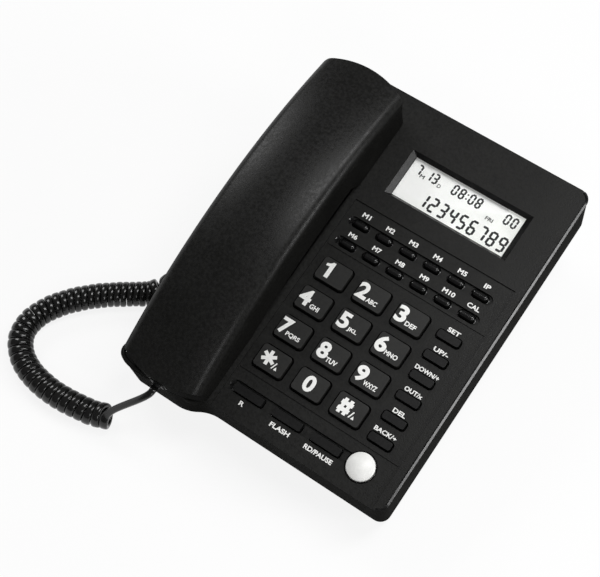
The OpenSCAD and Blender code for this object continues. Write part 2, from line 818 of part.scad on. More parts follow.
module hook_switch() {
    color("#202022") face() {
        translate([hook_x + 9, hook_y - 6.5, plate_z]) cube([6, 13, 7]);
        translate([hook_x + 6.5, hook_y - 2, plate_z + 4]) cube([3, 4, 1.2]);
    }
}

module loudspeaker() {
    top = tub_floor - tub_t;
    color("#3b3b3b") face() translate([hs_x, speaker_y, 0]) {
        translate([0, 0, top - speaker_rim]) cylinder(d = speaker_d, h = speaker_rim);
        translate([0, 0, top - speaker_rim - speaker_magnet_t])
            cylinder(d = speaker_magnet_d, h = speaker_magnet_t + speaker_rim / 2);
    }
}

module base_microphone() {
    color("silver") face() translate([key_x1 + dial_px, front + wall_t, base_mic_z]) rotate([-90, 0, 0])
        cylinder(d = mic_d, h = mic_l);
}

module line_jack() {
    color("#17181a") face() at_line_jack() jack_body(line_size, line_hole);
}

module base_handset_jack() {
    color("#17181a") face() at_base_jack() jack_body(small_jack, small_hole);
}

// Keys: cap, retaining flange and stem, each drawn round its own middle

module key_foot(w, h) {
    between(flange_z - flange_t, flange_z) rounded(w + 2 * flange_out, h + 2 * flange_out, 1);
    between(stem_z, flange_z - flange_t / 2) circle(d = stem_d);
}

module dial_key(k) {
    color("#38393c") face() translate(dial_xy(k)) {
        between(flange_z - flange_t / 2, key_rise - panel_drop) rounded(key_w, key_h, 1.6);
        key_foot(key_w, key_h);
    }
}

module memory_key(k) {
    r = mem_h / 2;
    top = 0.6;
    color("#303134") face() translate(memory_xy(k)) {
        between(flange_z - flange_t / 2, top - r) round_ended(mem_w, mem_h);
        for (x = [-1, 1]) translate([x * (mem_w / 2 - r), 0, top - r]) sphere(r = r);
        translate([-mem_w / 2 + r, 0, top - r]) rotate([0, 90, 0]) cylinder(r = r, h = mem_w - 2 * r);
        key_foot(mem_w, mem_h);
    }
}

module function_key(k) {
    color("#303134") face() translate(function_xy(k)) {
        between(flange_z - flange_t / 2, 1) rounded(fn_w, fn_h, 1.2);
        key_foot(fn_w, fn_h);
    }
}

module row_key(k) {
    color("#303134") face() translate(row_xy(k)) {
        between(flange_z - flange_t / 2, 0.6) rounded(row_w, row_h, 1);
        key_foot(row_w - 2 * flange_out, row_h);
    }
}

module handsfree_button() {
    dome_r = 13;
    top = 3;
    color("#f3f3f0") face() translate([dome_x, row_y, 0]) {
        intersection() {
            between(flange_z - flange_t / 2, top) circle(d = dome_d);
            translate([0, 0, top - dome_r]) sphere(r = dome_r, $fn = 96);
        }
        between(flange_z - flange_t, flange_z) circle(d = dome_d + 2 * flange_out);
        between(stem_z, flange_z - flange_t / 2) circle(d = 4);
    }
}

// Handset

module handset_back_shell() {
    color("#2d2d2f") face() difference() {
        union() {
            difference() {
                intersection() {
                    between(-hs_top, 2 * hs_top) handset_plan(hs_w, hs_front, hs_back, 0);
                    arch_sweep() crown_section(split_r, 0);
                }
                intersection() {
                    between(-hs_top, 2 * hs_top) handset_plan(hs_w, hs_front, hs_back, hs_wall);
                    arch_sweep() crown_section(split_r - 5, hs_wall);
                }
            }
            intersection() {
                for (y = hs_screw_ys) translate([hs_x, y, 0]) cylinder(d = 6, h = 2 * hs_top);
                arch_band(split_r, hs_r - hs_wall / 2);
            }
        }
        for (y = hs_screw_ys) translate([hs_x, y, 0]) cylinder(d = hs_screw_d, h = hs_top - hs_wall - 4);
        at_handset_jack() jack_cut(hs_jack);
    }
}

function grip_z(y) = hs_top - hs_r + sqrt(grip_r * grip_r - (y - hs_apex) * (y - hs_apex));

module handset_face_shell() {
    color("#29292b") face() difference() {
        union() {
            difference() {
                union() {
                    intersection() {
                        between(hs_lip, 2 * hs_top) handset_plan(hs_w, hs_front, hs_back, seam_in);
                        arch_band(hs_r / 2, split_r);
                        union() {
                            arch_band(grip_r, split_r + 1);
                            side_view() cap_ends(0);
                        }
                    }
                    intersection() {
                        between(-cap_depth, hs_lip + 1) cap_plan(0);
                        side_view() cap_blocks(0);
                    }
                }
                intersection() {
                    between(hs_lip + hs_wall, 2 * hs_top)
                        handset_plan(hs_w, hs_front, hs_back, seam_in + hs_wall);
                    union() {
                        arch_band(grip_r + hs_wall, split_r + 5);
                        side_view() cap_ends(hs_wall);
                    }
                }
                intersection() {
                    between(hs_wall - cap_depth, hs_lip + hs_wall + 1) cap_plan(hs_wall);
                    side_view() cap_blocks(hs_wall);
                }
            }
            intersection() {
                for (y = hs_screw_ys) translate([hs_x, y, 0]) cylinder(d = 7, h = 2 * hs_top);
                arch_band(grip_r, split_r);
            }
        }
        for (y = hs_screw_ys) translate([hs_x, y, 0]) {
            cylinder(d = hs_screw_d + 0.4, h = hs_top);
            cylinder(d = hs_screw_head + 0.4, h = grip_z(y) + hs_screw_sink);
        }
        translate([hs_x, receiver_y, -cap_depth - 1]) {
            cylinder(d = 2.2, h = hs_wall + 2);
            hole_ring(6, 5, 2.2);
            hole_ring(12, 10, 2.2);
        }
        translate([hs_x, mouth_mic_y, -cap_depth - 1]) hole_ring(6, 3, 1.6);
        at_handset_jack() jack_cut(hs_jack);
    }
}

// Small sound holes on a circle through a cap's floor
module hole_ring(count, r, d) {
    for (k = [1 : count]) rotate([0, 0, 360 * k / count]) translate([r, 0, 0])
        cylinder(d = d, h = hs_wall + 2);
}

// Side view of the two caps below the lip, set in by i
module cap_blocks(i) {
    translate([ear_y + i, -hs_top]) square([hs_l, 2 * hs_top]);
    translate([mouth_y - i - hs_l, -hs_top]) square([hs_l, 2 * hs_top]);
}

module receiver_capsule() {
    color("#4a4a4c") face() translate([hs_x, receiver_y, hs_wall - cap_depth]) {
        cylinder(d = receiver_d, h = receiver_t / 2);
        cylinder(d = receiver_d - 8, h = receiver_t);
    }
}

module handset_microphone() {
    color("silver") face() translate([hs_x, mouth_mic_y, hs_wall - cap_depth]) cylinder(d = mic_d, h = mic_l);
}

module handset_weight() {
    color("#77797c") face() arch_sweep(2 * weight_angle)
        translate([grip_r + hs_wall, -weight_w / 2]) square([weight_t, weight_w]);
}

module handset_screws() {
    color("silver") face() for (y = hs_screw_ys) translate([hs_x, y, grip_z(y) + hs_screw_sink])
        screw(
            hs_screw_d, hs_top - hs_wall - hs_screw_end - grip_z(y) - hs_screw_sink,
            hs_screw_head, screw_head_t
        );
}

module handset_jack() {
    color("#17181a") face() at_handset_jack() difference() {
        translate([-hs_jack[0] / 2, 0, -hs_jack[2] / 2]) cube(hs_jack);
        translate([-small_hole[0] / 2, -1, -small_hole[2] / 2])
            cube([small_hole[0], small_hole[1] + 1, small_hole[2]]);
    }
}

// Cord and plugs

module handset_plug() {
    color("#1b1b1d") face() at_handset_jack() plug();
}

module base_plug() {
    color("#1b1b1d") face() at_base_jack() plug();
}

module curly_cord() {
    table = axis_table(smooth_route(cord_route, 10));
    total = table[0][len(table[0]) - 1][0];
    line = coil_line(table, stations(total, cord_lead, cord_rise, curls, (curl_d - cord_d) / 2));
    echo(curly_cord_gap = least_gap(line, cord_d), route = total);
    color("#1f1f21") tube_along(line, cord_d / 2);
}

base_top_shell();
base_bottom_shell();
rubber_feet();
base_screws();
lcd_lens();
lcd_panel();
main_board();
board_screws();
key_membrane();
hook_plunger();
hook_spring();
hook_switch();
loudspeaker();
base_microphone();
line_jack();
base_handset_jack();
base_plug();
curly_cord();
handset_plug();
handset_jack();
handset_back_shell();
handset_face_shell();
receiver_capsule();
handset_microphone();
handset_weight();
handset_screws();
for (k = dial_keys) dial_key(k);
for (k = memory_keys) memory_key(k);
for (k = function_keys) function_key(k);
for (k = row_keys) row_key(k);
handsfree_button();
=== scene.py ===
"""Looks of a push-button desk phone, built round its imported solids."""

import math

import bmesh
import bpy
from mathutils import Matrix, Vector


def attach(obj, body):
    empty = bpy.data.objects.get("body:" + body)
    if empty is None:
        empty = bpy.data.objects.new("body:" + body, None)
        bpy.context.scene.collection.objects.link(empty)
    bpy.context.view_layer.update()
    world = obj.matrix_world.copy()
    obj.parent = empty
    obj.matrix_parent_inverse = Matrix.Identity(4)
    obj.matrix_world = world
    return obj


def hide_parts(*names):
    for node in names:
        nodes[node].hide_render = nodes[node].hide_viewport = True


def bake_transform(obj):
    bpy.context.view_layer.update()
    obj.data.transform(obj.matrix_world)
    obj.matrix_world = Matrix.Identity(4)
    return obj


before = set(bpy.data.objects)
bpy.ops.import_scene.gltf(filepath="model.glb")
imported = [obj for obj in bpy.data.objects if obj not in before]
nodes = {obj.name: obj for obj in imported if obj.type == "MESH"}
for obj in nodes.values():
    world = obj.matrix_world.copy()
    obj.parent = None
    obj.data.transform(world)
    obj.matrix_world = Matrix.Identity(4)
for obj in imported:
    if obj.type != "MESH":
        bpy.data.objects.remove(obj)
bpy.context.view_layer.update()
scene = bpy.context.scene
MM = 0.001

# The sloping face: a runs right, b up the slope, w out of the face, in millimetres
TILT = math.radians(10)
FACE_Y = 2.0468
FACE_Z = 50.9509
FACE = Matrix.Translation((0, FACE_Y * MM, FACE_Z * MM)) @ Matrix.Rotation(TILT, 4, "X")


def on_face(a, b, w):
    return FACE @ Vector((a * MM, b * MM, w * MM))


# Camera at the photograph's viewing angle
CAMERA_AT = (0.16783, -0.29425, 0.66538)
LOOKS_DOWN = 61.789
LOOKS_LEFT = 34.789
LENS = 81.54
cam_data = bpy.data.cameras.new("camera")
cam_data.sensor_fit = "HORIZONTAL"
cam_data.sensor_width = 36
cam_data.lens = LENS
camera = bpy.data.objects.new("camera", cam_data)
camera.location = CAMERA_AT
camera.rotation_euler = (math.radians(90 - LOOKS_DOWN), 0, math.radians(LOOKS_LEFT))
scene.collection.objects.link(camera)
scene.camera = camera


# Node-based materials

def new_material(name):
    mat = bpy.data.materials.new(name)
    mat.use_nodes = True
    tree = mat.node_tree
    shader = tree.nodes["Principled BSDF"]
    return mat, tree, shader


def noise(tree, scale, detail=2.0, rough=0.5, coords=None):
    tex = tree.nodes.new("ShaderNodeTexNoise")
    tex.inputs["Scale"].default_value = scale
    tex.inputs["Detail"].default_value = detail
    tex.inputs["Roughness"].default_value = rough
    if coords is None:
        coords = tree.nodes.new("ShaderNodeTexCoord").outputs["Object"]
    tree.links.new(coords, tex.inputs["Vector"])
    return tex.outputs["Fac"]


def remap(tree, value, lo, hi, start=0.3, end=0.7):
    node = tree.nodes.new("ShaderNodeMapRange")
    node.inputs["From Min"].default_value = start
    node.inputs["From Max"].default_value = end
    node.inputs["To Min"].default_value = lo
    node.inputs["To Max"].default_value = hi
    tree.links.new(value, node.inputs["Value"])
    return node.outputs["Result"]


def mix_colours(tree, fac, low, high):
    node = tree.nodes.new("ShaderNodeMix")
    node.data_type = "RGBA"
    tree.links.new(fac, node.inputs["Factor"])
    for socket, colour in ((node.inputs[6], low), (node.inputs[7], high)):
        if hasattr(colour, "is_linked"):
            tree.links.new(colour, socket)
        else:
            socket.default_value = (*colour, 1)
    return node.outputs[2]


def bump(tree, height, strength, depth, normal=None):
    node = tree.nodes.new("ShaderNodeBump")
    node.inputs["Strength"].default_value = strength
    node.inputs["Distance"].default_value = depth
    tree.links.new(height, node.inputs["Height"])
    if normal is not None:
        tree.links.new(normal, node.inputs["Normal"])
    return node.outputs["Normal"]


# What all plastics share: scale and weight of broad clouds and small specks, and the depth of coarse grain
CLOUD = 55
CLOUD_SHARE = 0.4
SPECK = 620
SPECK_SHARE = 0.6
COARSE_DEPTH = 0.0001
# How far a face's normal points up where it counts as upright and as level, for the painted shade that
# dulls upright faces
UPRIGHT = 0.45
LEVEL = 0.85


def moulded(name, dark, light, rough, specular=0.18, grain=2200, depth=0.00006, strength=0.35, coarse=0.0,
            mottle=0.02, upright_shade_gloss=None):
    """Moulded plastic: mottled colour, uneven gloss and a fine grain.

    A gloss given for upright faces, where it differs from specular, is ramped in by how far each face
    points up: set low, it darkens them as painted shade by facing.
    """
    mat, tree, shader = new_material(name)
    cloud = noise(tree, CLOUD, detail=4, rough=0.6)
    speck = noise(tree, SPECK, detail=2, rough=0.6)
    fine = noise(tree, grain, detail=2, rough=0.55)
    fac = tree.nodes.new("ShaderNodeMath")
    fac.operation = "MULTIPLY_ADD"
    tree.links.new(remap(tree, speck, 0, 1), fac.inputs[0])
    fac.inputs[1].default_value = SPECK_SHARE
    tree.links.new(remap(tree, cloud, 0, CLOUD_SHARE), fac.inputs[2])
    tree.links.new(mix_colours(tree, fac.outputs[0], dark, light), shader.inputs["Base Color"])
    uneven = remap(tree, speck, rough - mottle, rough + mottle, start=0.36, end=0.64)
    tree.links.new(uneven, shader.inputs["Roughness"])
    shader.inputs["Specular IOR Level"].default_value = specular
    # Painted shade: upright faces take a lower gloss by the way their normal points, so they render dark
    if upright_shade_gloss is not None:
        split = tree.nodes.new("ShaderNodeSeparateXYZ")
        tree.links.new(tree.nodes.new("ShaderNodeTexCoord").outputs["Normal"], split.inputs["Vector"])
        gloss = remap(tree, split.outputs["Z"], upright_shade_gloss, specular, UPRIGHT, LEVEL)
        tree.links.new(gloss, shader.inputs["Specular IOR Level"])
    grained = bump(tree, speck, coarse, COARSE_DEPTH) if coarse else None
    tree.links.new(bump(tree, fine, strength, depth, grained), shader.inputs["Normal"])
    return mat


def metal(name, colour, rough, stretch=(1, 1, 12)):
    """Plated or drawn metal with fine directional scratches."""
    mat, tree, shader = new_material(name)
    coords = tree.nodes.new("ShaderNodeTexCoord")
    squeeze = tree.nodes.new("ShaderNodeMapping")
    squeeze.inputs["Scale"].default_value = stretch
    tree.links.new(coords.outputs["Object"], squeeze.inputs["Vector"])
    lines = noise(tree, scale=600, detail=3, rough=0.6, coords=squeeze.outputs["Vector"])
    darker = tuple(c * 0.7 for c in colour)
    tree.links.new(mix_colours(tree, remap(tree, lines, 0, 1), darker, colour), shader.inputs["Base Color"])
    tree.links.new(remap(tree, lines, rough - 0.08, rough + 0.1), shader.inputs["Roughness"])
    shader.inputs["Metallic"].default_value = 1.0
    tree.links.new(bump(tree, lines, strength=0.15, depth=0.00003), shader.inputs["Normal"])
    return mat


def printed(name, dark, light, rough=0.5):
    """Printing ink, slightly uneven."""
    mat, tree, shader = new_material(name)
    patch = noise(tree, scale=700, detail=3, rough=0.6)
    tree.links.new(mix_colours(tree, remap(tree, patch, 0, 1), dark, light), shader.inputs["Base Color"])
    tree.links.new(remap(tree, patch, rough - 0.06, rough + 0.06), shader.inputs["Roughness"])
    tree.links.new(bump(tree, patch, strength=0.1, depth=0.00002), shader.inputs["Normal"])
    return mat


def display_glass(name):
    """The clear window over the display: almost all see-through, with a gloss."""
    mat, tree, shader = new_material(name)
    haze = noise(tree, scale=90, detail=3, rough=0.5)
    shade = mix_colours(tree, remap(tree, haze, 0, 1), (0.015, 0.016, 0.016), (0.03, 0.031, 0.031))
    tree.links.new(shade, shader.inputs["Base Color"])
    tree.links.new(remap(tree, haze, lo=0.05, hi=0.09), shader.inputs["Roughness"])
    shader.inputs["Alpha"].default_value = 0.04
    shader.inputs["Specular IOR Level"].default_value = 0.4
    return mat


def liquid_crystal(name):
    """Pale reflective display with a faint pixel weave, and a faint painted glow of its own colour by
    emission.
    """
    mat, tree, shader = new_material(name)
    cloud = noise(tree, scale=40, detail=3, rough=0.5)
    weave = noise(tree, scale=2600, detail=1, rough=0.4)
    shade = mix_colours(tree, remap(tree, cloud, 0, 1), (0.86, 0.87, 0.85), (0.93, 0.935, 0.92))
    tree.links.new(shade, shader.inputs["Base Color"])
    # Painted light: the display's colour also glows, though the display is no lamp
    tree.links.new(shade, shader.inputs["Emission Color"])
    shader.inputs["Emission Strength"].default_value = 0.2
    tree.links.new(remap(tree, weave, lo=0.3, hi=0.4), shader.inputs["Roughness"])
    tree.links.new(bump(tree, weave, strength=0.08, depth=0.00002), shader.inputs["Normal"])
    return mat


def circuit_board(name):
    """Green board with lighter tracks."""
    mat, tree, shader = new_material(name)
    coords = tree.nodes.new("ShaderNodeTexCoord").outputs["Object"]
    cells = tree.nodes.new("ShaderNodeTexVoronoi")
    cells.feature = "DISTANCE_TO_EDGE"
    cells.inputs["Scale"].default_value = 160
    tree.links.new(coords, cells.inputs["Vector"])
    track = remap(tree, cells.outputs["Distance"], 0, 1, start=0.05, end=0.12)
    colour = mix_colours(tree, track, (0.05, 0.2, 0.09), (0.02, 0.11, 0.05))
    tree.links.new(colour, shader.inputs["Base Color"])
    tree.links.new(remap(tree, noise(tree, scale=300), lo=0.3, hi=0.45), shader.inputs["Roughness"])
    tree.links.new(bump(tree, track, strength=0.2, depth=0.00004), shader.inputs["Normal"])
    return mat


def grey(value):
    return (value, value, value)


# The gloss left on upright faces, so low that they render dark: painted shade by facing
UPRIGHT_FACE_SHADE = 0.0003
# Besides grain, these and the handset's and dial keys' looks carry the painted shade that dulls upright
# faces
CASING_GRAIN_AND_SHADE = dict(grain=1300, depth=0.00012, strength=0.5, coarse=0.3, mottle=0.06, upright_shade_gloss=UPRIGHT_FACE_SHADE)
KEY_GRAIN_AND_SHADE = dict(grain=2600, depth=0.00002, strength=0.2, upright_shade_gloss=UPRIGHT_FACE_SHADE)
PLASTICS = {
    "base_casing": dict(dark=(0.006, 0.006, 0.0056), light=(0.0125, 0.0125, 0.0117), rough=0.42,
                        specular=0.17, **CASING_GRAIN_AND_SHADE),
    "bottom_casing": dict(dark=(0.007, 0.007, 0.0067), light=(0.014, 0.014, 0.0133), rough=0.6,
                          specular=0.12, **CASING_GRAIN_AND_SHADE),
    "handset_casing": dict(dark=(0.005, 0.005, 0.0047), light=(0.0105, 0.0105, 0.0099), rough=0.36,
                           specular=0.2, grain=1500, depth=0.00008, strength=0.4, coarse=0.25,
                           mottle=0.06, upright_shade_gloss=UPRIGHT_FACE_SHADE),
    "dial_key": dict(dark=(0.012, 0.012, 0.0115), light=(0.02, 0.02, 0.019), rough=0.46,
                     specular=0.24, grain=1800, coarse=0.2, mottle=0.04, upright_shade_gloss=UPRIGHT_FACE_SHADE),
    "small_key": dict(dark=grey(0.005), light=grey(0.009), rough=0.38, specular=0.15, **KEY_GRAIN_AND_SHADE),
    "memory_key": dict(dark=grey(0.003), light=grey(0.006), rough=0.2, specular=0.6, **KEY_GRAIN_AND_SHADE),
    "gloss_trim": dict(dark=grey(0.004), light=grey(0.007), rough=0.24, specular=0.3, grain=2600,
                       depth=0.00001, strength=0.1),
    "frame_gloss": dict(dark=grey(0.004), light=grey(0.007), rough=0.3, specular=0.2, grain=2600,
                        depth=0.00002, strength=0.2),
    # Near black without gloss: painted shade for the gaps round the keys and the screws' cross slots
    "painted_shade_black": dict(dark=grey(0.001), light=grey(0.0025), rough=0.7, specular=0.0, grain=1300),
    "white_button": dict(dark=(0.8, 0.8, 0.78), light=(0.88, 0.88, 0.86), rough=0.35, specular=0.3,
                         grain=2600, depth=0.00003, strength=0.2),
    "foot_rubber": dict(dark=grey(0.012), light=grey(0.03), rough=0.75, specular=0.2, grain=900,
                        depth=0.00012),
    "membrane": dict(dark=(0.28, 0.28, 0.29), light=(0.38, 0.38, 0.39), rough=0.6, specular=0.3,
                     grain=1200),
    "hook_plastic": dict(dark=grey(0.012), light=grey(0.02), rough=0.4),
    "switch_plastic": dict(dark=grey(0.01), light=grey(0.02), rough=0.5),
    "jack_plastic": dict(dark=grey(0.007), light=grey(0.014), rough=0.45),
    "plug_plastic": dict(dark=grey(0.01), light=grey(0.018), rough=0.5, specular=0.1, grain=2600,
                         depth=0.00003),
    "cord": dict(dark=grey(0.006), light=(0.01, 0.01, 0.0095), rough=0.17, specular=0.42, grain=1600,
                 depth=0.00002),
}
METALS = {
    "steel": dict(colour=(0.62, 0.62, 0.6), rough=0.32),
    "speaker_metal": dict(colour=grey(0.14), rough=0.4),
    "capsule_metal": dict(colour=(0.66, 0.66, 0.67), rough=0.3),
    "weight_iron": dict(colour=(0.25, 0.25, 0.26), rough=0.55),
    "gold": dict(colour=(0.86, 0.62, 0.25), rough=0.25),
}
MATERIALS = {
    "lens": display_glass("lens"),
    "display": liquid_crystal("display"),
    "board": circuit_board("board"),
    "ink": printed("ink", (0.82, 0.82, 0.8), (0.92, 0.92, 0.9)),
    "segment": printed("segment", (0.004, 0.004, 0.005), (0.009, 0.009, 0.01), 0.6),
}
for name, looks in PLASTICS.items():
    MATERIALS[name] = moulded(name, **looks)
for name, looks in METALS.items():
    MATERIALS[name] = metal(name, **looks)

# Which of the record's slots each solid takes
SLOT_OF = {
    "base_top_shell": "base_casing", "base_bottom_shell": "bottom_casing", "rubber_feet": "foot_rubber",
    "base_screws": "steel", "lcd_lens": "lens", "lcd_panel": "display", "main_board": "board",
    "board_screws": "steel", "key_membrane": "membrane", "hook_plunger": "hook_plastic",
    "hook_spring": "steel", "hook_switch": "switch_plastic", "loudspeaker": "speaker_metal",
    "base_microphone": "capsule_metal", "line_jack": "jack_plastic", "base_handset_jack": "jack_plastic",
    "base_plug": "plug_plastic", "curly_cord": "cord", "handset_plug": "plug_plastic",
    "handset_jack": "jack_plastic", "handset_back_shell": "handset_casing",
    "handset_face_shell": "handset_casing", "receiver_capsule": "capsule_metal",
    "handset_microphone": "capsule_metal", "handset_weight": "weight_iron", "handset_screws": "steel",
    "handsfree_button": "white_button",
}
DIAL = ["1", "2", "3", "4", "5", "6", "7", "8", "9", "star", "0", "hash"]
MEMORY = ["m1", "m2", "m3", "m4", "m5", "ip", "m6", "m7", "m8", "m9", "m10", "cal"]
FUNCTION = ["set", "up", "down", "out", "del", "back"]
ROW = ["r", "flash", "redial"]
for keys, slot in ((DIAL, "dial_key"), (FUNCTION + ROW, "small_key"), (MEMORY, "memory_key")):
    for key in keys:
        SLOT_OF["key_" + key] = slot


def give(obj, slot):
    obj.data.materials.clear()
    obj.data.materials.append(MATERIALS[slot])


def link(name, mesh):
    obj = bpy.data.objects.new(name, mesh)
    scene.collection.objects.link(obj)
    return obj


def mesh_piece(name, verts, faces, slot, smooth=True):
    mesh = bpy.data.meshes.new(name)
    mesh.from_pydata([tuple(v) for v in verts], [], faces)
    mesh.validate()
    obj = link(name, mesh)
    bm = bmesh.new()
    bm.from_mesh(mesh)
    bmesh.ops.recalc_face_normals(bm, faces=bm.faces)
    bm.to_mesh(mesh)
    bm.free()
    for poly in mesh.polygons:
        poly.use_smooth = smooth
    give(obj, slot)
    return obj


# Curly cord: the route repeats the points of the part's source, in millimetres

CORD_D = 3.0
BASE_END = Vector((-80, -23.671, 26.920))
HANDSET_END = Vector((-52.25, -105.349, 37.498))
HANDSET_WAY = Vector((0, -math.cos(TILT), -math.sin(TILT)))
CORD_HOME = Vector((-78, -105.2446, 0))
CORD_BENDS = [
    (-11.5, 78, 22), (-14, 70, 14.5), (-16, 61, 9), (-21, 52.3, 7), (-29.5, 45.6, 6.8),
    (-38.6, 38.8, 6.8), (-47.7, 30.7, 6.8), (-56, 21, 6.8), (-62, 10.5, 6.8), (-64.3, 0, 6.8),
    (-62, -9.5, 6.8), (-55, -17, 6.8), (-45.5, -21.7, 6.8), (-34, -24, 6.8), (-22.8, -24.3, 6.8),
    (-10.3, -22.9, 6.8), (1, -20.3, 6.9), (7.8, -15.2, 12.5), (15, -8.8, 22.5),
]
ROUTE_STEPS = 10
UP = Vector((0, 0, 1))
# Along the route: the plain lead, the turn that opens out, the rise to the handset, and the coil's overrun
CORD_LEAD = 20
FLARE = 19
CORD_RISE = 46
COIL_PAST = 5
# The coil: its turns, the points of a turn and in all, where in a turn it ends, and its radii
CURLS = 40
RINGS = 24
COIL_POINTS = RINGS * CURLS - RINGS // 4
LAST_TURN = 0.33
CURL_OUT = 5.7
CURL_UP = 5.35
# The turns lie further apart towards the handset by this share
STRETCH = 0.2
# Unevenness of the turns: its size, how fast it comes and goes, and its start
UNEVEN = ((0.012, 1.85, 0), (0.01, 1.9, 1))
# The flat cord: its width and thickness, its share of the coil's pitch, and the points it narrows over
FLAT_W = 3.8
FLAT_T = 2.6
TURN_FILL = 0.96
NARROWS = 8
# How firmly the last stretch keeps to the way of the coil and of the plug, and its points
LEAVE = 6
ENTER = 6
LEAD_POINTS = 30
# Steps along the route that give the way of the coil's axis, and of its overrun
AXIS_RUN = 1.5
AHEAD_RUN = 4


def catmull(p, q, r, s, t):
    return 0.5 * (2 * q + (r - p) * t + (2 * p - 5 * q + 4 * r - s) * t * t
                  + (3 * q - p - 3 * r + s) * t * t * t)


def cord_route():
    route = [BASE_END, BASE_END + Vector((-CORD_D, 0, 0))]
    route += [CORD_HOME + Vector(p) for p in CORD_BENDS]
    route += [HANDSET_END + HANDSET_WAY * CORD_D, HANDSET_END]
    points = [route[0]]
    for i in range(1, len(route) - 2):
        points += [catmull(*route[i - 1:i + 3], k / ROUTE_STEPS) for k in range(ROUTE_STEPS)]
    return points + route[-2:]


def walk(points):
    """Distance along a line of points, and a lookup of a place at a distance."""
    runs = [0.0]
    for p, q in zip(points, points[1:]):
        runs.append(runs[-1] + (q - p).length)

    def at(s):
        s = min(max(s, 0.0), runs[-1])
        i = next(k for k in range(1, len(runs)) if runs[k] >= s - 1e-9)
        return points[i - 1].lerp(points[i], (s - runs[i - 1]) / (runs[i] - runs[i - 1]))

    return runs[-1], at


def curve_between(p, q, way_p, way_q, count):
    """Points of a smooth curve from p to q that starts along way_p and ends along way_q."""
    b, c = p + way_p, q - way_q
    steps = [k / count for k in range(1, count + 1)]
    return [(1 - t) ** 3 * p + 3 * t * (1 - t) ** 2 * b + 3 * t * t * (1 - t) * c + t ** 3 * q
            for t in steps]


def curly_line():
    """Centre line of the curly cord, each point with the way that its curl points."""
    total, along_route = walk(cord_route())
    level = total - CORD_RISE
    coil_end = level + COIL_PAST
    ahead = (along_route(level) - along_route(level - AHEAD_RUN)).normalized()

    def at(s):
        return along_route(s) if s < level else along_route(level) + (s - level) * ahead

    stations = [(float(s), 0.0, 0) for s in range(CORD_LEAD)]
    coil_start = CORD_LEAD + FLARE
    for k in range(COIL_POINTS + 1):
        ramp = min(1, k / RINGS)
        wobble = 1 + sum(size * math.sin(rate * k / RINGS + start) for size, rate, start in UNEVEN)
        share = max(0, k - RINGS) / (COIL_POINTS - RINGS)
        along = (1 - STRETCH) * share + STRETCH * share * share
        s = CORD_LEAD + FLARE * ramp + (coil_end - coil_start) * along
        stations.append((s, ramp * ramp * (3 - 2 * ramp) * wobble, k))
    line = []
    for s, r, k in stations:
        axis = (at(s + AXIS_RUN) - at(s - AXIS_RUN)).normalized()
        side = UP.cross(axis).normalized()
        up = axis.cross(side)
        turn = math.tau * ((COIL_POINTS - k) / RINGS + LAST_TURN)
        out = math.cos(turn) * side + math.sin(turn) * up
        line.append((at(s) + r * (CURL_OUT * math.cos(turn) * side + CURL_UP * math.sin(turn) * up), out))
    start, out = line[-1]
    leave = (start - line[-2][0]).normalized()
    stop = HANDSET_END + HANDSET_WAY * CORD_D
    lead = curve_between(start, stop, leave * LEAVE, HANDSET_WAY * -ENTER, LEAD_POINTS)
    line += [(p, out.lerp(UP, (k + 1) / LEAD_POINTS)) for k, p in enumerate(lead)]
    return line + [(HANDSET_END, UP)]


def flat_widths(line):
    """Width of the flat cord at each point: in the coil up to the next turn, elsewhere FLAT_W."""
    first, last = CORD_LEAD + 2 * RINGS, CORD_LEAD + COIL_POINTS
    widths = []
    for i in range(len(line)):
        if first <= i <= last:
            after = i + RINGS if i + RINGS <= last else i
            turns = (after - i + RINGS) / RINGS
            widths.append(TURN_FILL / turns * (line[after][0] - line[i - RINGS][0]).length)
        elif i > last:
            widths.append(FLAT_W + (widths[last] - FLAT_W) * max(0, 1 - (i - last) / NARROWS))
        else:
            widths.append(FLAT_W)
    return widths


def skin(rings, sides):
    """Faces of a tube with closed ends, made of so many rings of points."""
    faces = []
    for i in range(rings - 1):
        for j in range(sides):
            k = (j + 1) % sides
            faces.append((sides * i + j, sides * i + k, sides * (i + 1) + k, sides * (i + 1) + j))
    faces.append(tuple(range(sides)))
    faces.append(tuple(sides * (rings - 1) + j for j in range(sides)))
    return faces


def sweep_flat(line, widths, thick, sides=16, power=0.7):
    """A cord along a line, thick measured the way of the curl.

    A power of 1 makes its section round, and less makes it flat.
    """
    verts = []
    n = len(line)
    for i, (p, out) in enumerate(line):
        way = (line[min(i + 1, n - 1)][0] - line[max(i - 1, 0)][0]).normalized()
        a = (out - way * out.dot(way)).normalized()
        b = way.cross(a)
        for j in range(sides):
            t = math.tau * j / sides
            ca, sb = math.cos(t), math.sin(t)
            ca = math.copysign(abs(ca) ** power, ca)
            sb = math.copysign(abs(sb) ** power, sb)
            verts.append((p + a * (thick / 2 * ca) + b * (widths[i] / 2 * sb)) * MM)
    return verts, skin(n, sides)


cord_line = curly_line()
verts, faces = sweep_flat(cord_line, flat_widths(cord_line), FLAT_T)
cord = mesh_piece("handset_cord", verts, faces, "cord")
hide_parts("curly_cord")
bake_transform(cord)


# Hook spring: a wound wire with closer turns at its ends, from the base's floor to the plunger's collar

HOOK = (-52.25, 46.5)
SPRING_LOW = -27.05
SPRING_HIGH = -16.7
SPRING_R = 3.1
SPRING_WIRE = 0.8
SPRING_TURNS = 6
SPRING_RINGS = 24
# The share of the rise that is even, the rest makes the end turns closer
SPRING_EVEN = 0.7


